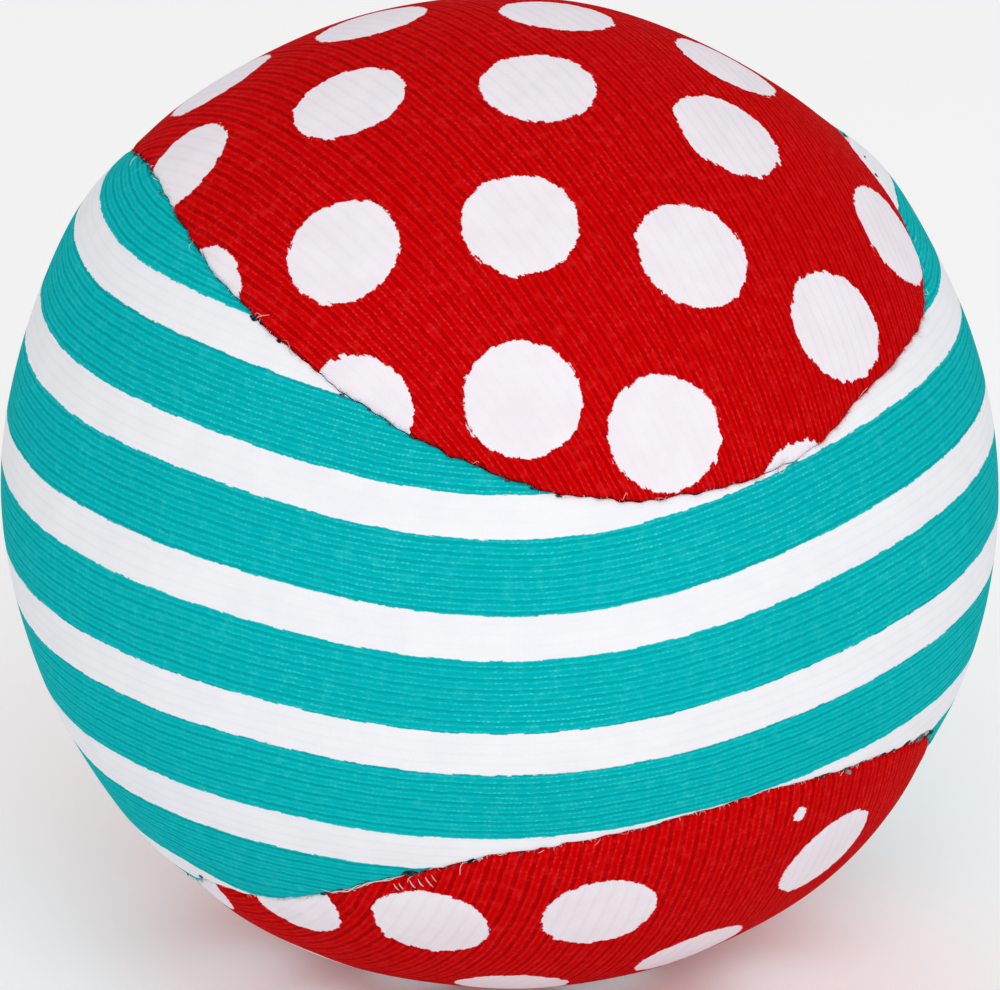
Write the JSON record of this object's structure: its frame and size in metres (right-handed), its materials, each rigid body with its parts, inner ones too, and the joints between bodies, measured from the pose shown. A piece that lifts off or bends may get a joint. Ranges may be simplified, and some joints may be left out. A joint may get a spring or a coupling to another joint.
{
  "type": "juggling ball",
  "caption": "Soft juggling ball with a two-panel knit cover, one striped and one dotted, on foam backing, filled with pellets in an inner pouch; it rests on a small flat face.",
  "frame": {"origin": "centre of the ball, which is its centre of mass", "axes": "+Z through the middle of the upper dotted lobe, away from the flat resting face; -Y through the striped waist and +Y through the dotted waist; X through the two striped lobes"},
  "size_m": [0.063, 0.063, 0.062],
  "materials": {
    "striped_knit": "teal ribbed knit printed with white stripes",
    "dotted_knit": "red ribbed knit printed with white dots",
    "backing_foam": "matt black foam sheet",
    "seam_glue": "dark flexible glue, satin",
    "seam_thread": "black polyester thread",
    "closing_thread": "red polyester thread",
    "pouch_cloth": "unbleached plain-weave cotton",
    "pouch_thread": "off-white cotton thread",
    "pellet_plastic": "milky plastic granules"
  },
  "bodies": {
    "root": {"striped_knit_panel": "striped_knit", "dotted_knit_panel": "dotted_knit", "striped_foam_backing": "backing_foam", "dotted_foam_backing": "backing_foam", "seam_glue_bead": "seam_glue", "seam_stitches": "seam_thread", "closing_stitches": "closing_thread", "pouch_upper_half": "pouch_cloth", "pouch_lower_half": "pouch_cloth", "pouch_stitches": "pouch_thread", "filling_pellets": "pellet_plastic"}
  },
  "joints": []
}
